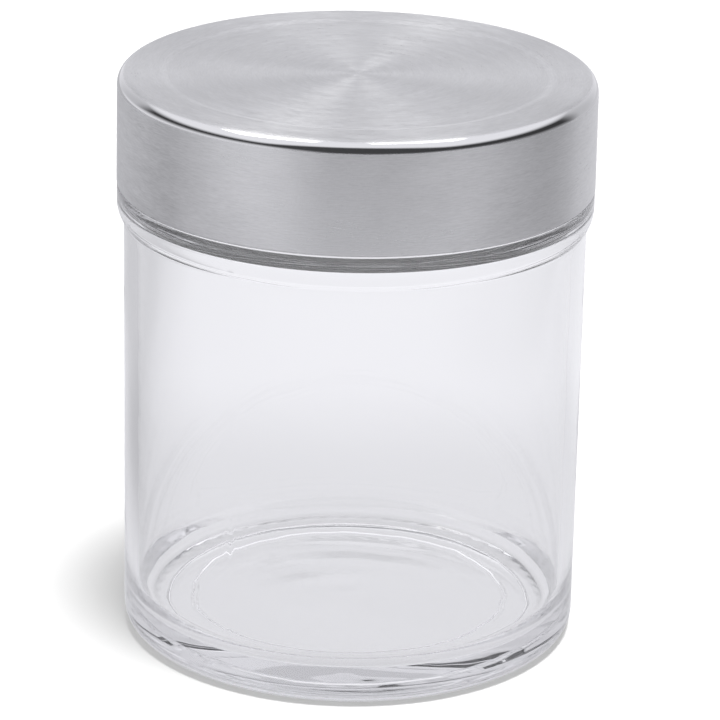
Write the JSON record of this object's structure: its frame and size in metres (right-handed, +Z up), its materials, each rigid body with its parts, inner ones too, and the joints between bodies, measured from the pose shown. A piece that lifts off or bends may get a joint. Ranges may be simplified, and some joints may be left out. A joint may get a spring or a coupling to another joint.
{
  "type": "disinfectant jar",
  "caption": "Round clear glass jar with a straight wall, a shoulder bead and a brushed steel screw lid, for holding disinfectant and small salon tools.",
  "frame": {"origin": "centre of the ring that the jar stands on", "axes": "+Z up along the jar's axis; the thread starts at +X"},
  "size_m": [0.0928, 0.0928, 0.1133],
  "materials": {
    "clear_glass": "clear soda-lime glass with a polished surface",
    "brushed_steel": "brushed in circles, with a polished rounded edge",
    "white_plastic": "satin moulded polypropylene",
    "liner_foam": "matt closed-cell polyethylene foam"
  },
  "bodies": {
    "jar": {"glass_jar": "clear_glass"},
    "liner": {"lid_liner": "liner_foam"},
    "lid": {"lid_shell": "brushed_steel", "lid_insert": "white_plastic"}
  },
  "joints": [
    {"name": "lid_rise", "type": "slide", "parent": "jar", "child": "liner", "axis": [0, 0, 1], "range_m": [0, 0.02032]},
    {"name": "lid_twist", "type": "hinge", "parent": "liner", "child": "lid", "pos_m": [0, 0, 0.1], "axis": [0, 0, 1], "range_deg": [0, 1440]}
  ],
  "couplings": [
    {"joint": "lid_rise", "follows": "lid_twist", "m_per_rad": 0.00080851}
  ]
}
